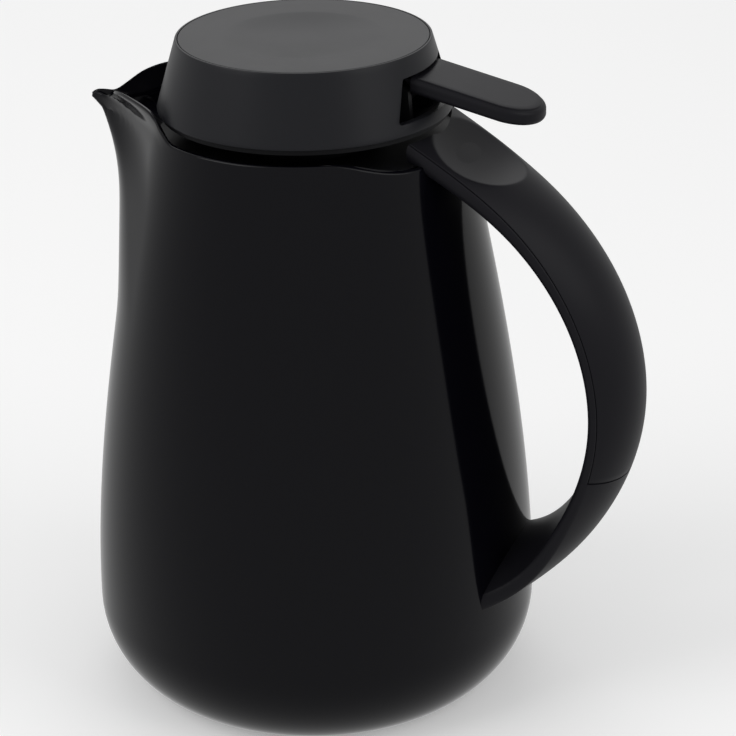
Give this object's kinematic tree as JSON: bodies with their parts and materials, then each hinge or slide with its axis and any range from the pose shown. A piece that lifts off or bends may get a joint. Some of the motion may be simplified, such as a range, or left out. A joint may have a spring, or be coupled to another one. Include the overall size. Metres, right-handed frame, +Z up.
{
  "type": "thermal carafe",
  "caption": "Insulated serving jug with a glass vacuum liner, side handle, pouring spout and a screw-on lid whose thumb lever opens the pouring valve.",
  "frame": {"origin": "centre of the flat ring that the jug stands on", "axes": "+Z up along the jug's axis, +X towards the handle, -X towards the spout"},
  "size_m": [0.1883, 0.147, 0.2205],
  "materials": {
    "jacket_gloss": "gloss black, smooth",
    "lid_satin": "satin charcoal",
    "inner_plastic": "matt black moulding",
    "seal_rubber": "soft grey silicone rubber",
    "liner_glass": "silvered glass",
    "spacer_pad": "pressed fibre pad",
    "screw_steel": "plain steel",
    "spring_steel": "drawn stainless wire"
  },
  "bodies": {
    "jug": {"outer_jacket": "jacket_gloss", "handle_strap": "jacket_gloss", "handle_cover": "jacket_gloss", "handle_screws": "screw_steel", "neck_collar": "inner_plastic", "neck_gasket": "seal_rubber", "glass_inner": "liner_glass", "glass_outer": "liner_glass", "glass_spacers": "spacer_pad", "liner_cushion": "seal_rubber", "base_cap": "inner_plastic"},
    "lid_ring": {"stopper_gasket": "seal_rubber"},
    "lid": {"stopper_cup": "inner_plastic", "lid_base": "inner_plastic", "lid_shell": "lid_satin", "lid_top_disc": "lid_satin", "lid_screws": "screw_steel", "lever_pin": "screw_steel"},
    "lever": {"thumb_lever": "lid_satin"},
    "valve": {"valve_stem": "inner_plastic", "valve_seal": "seal_rubber", "stem_clip": "inner_plastic", "valve_spring": "spring_steel"}
  },
  "joints": [
    {"name": "lid_lift", "type": "slide", "parent": "jug", "child": "lid_ring", "axis": [0, 0, 1], "range_m": [0, 0.014]},
    {"name": "lid_twist", "type": "hinge", "parent": "lid_ring", "child": "lid", "pos_m": [0, 0, 0.18], "axis": [0, 0, 1], "range_deg": [0, 360]},
    {"name": "lever_press", "type": "hinge", "parent": "lid", "child": "lever", "pos_m": [0.034, 0, 0.206], "axis": [0, 1, 0], "range_deg": [0, 8]},
    {"name": "valve_lift", "type": "slide", "parent": "lid", "child": "valve", "axis": [0, 0, 1], "range_m": [0, 0.0047], "stiffness_N_per_m": 400, "springref_m": -0.004, "deforming": ["valve_spring"]}
  ],
  "couplings": [
    {"joint": "lid_lift", "follows": "lid_twist", "m_per_rad": 0.0022282},
    {"joint": "lever_press", "follows": "valve_lift", "rad_per_m": 29.41}
  ]
}
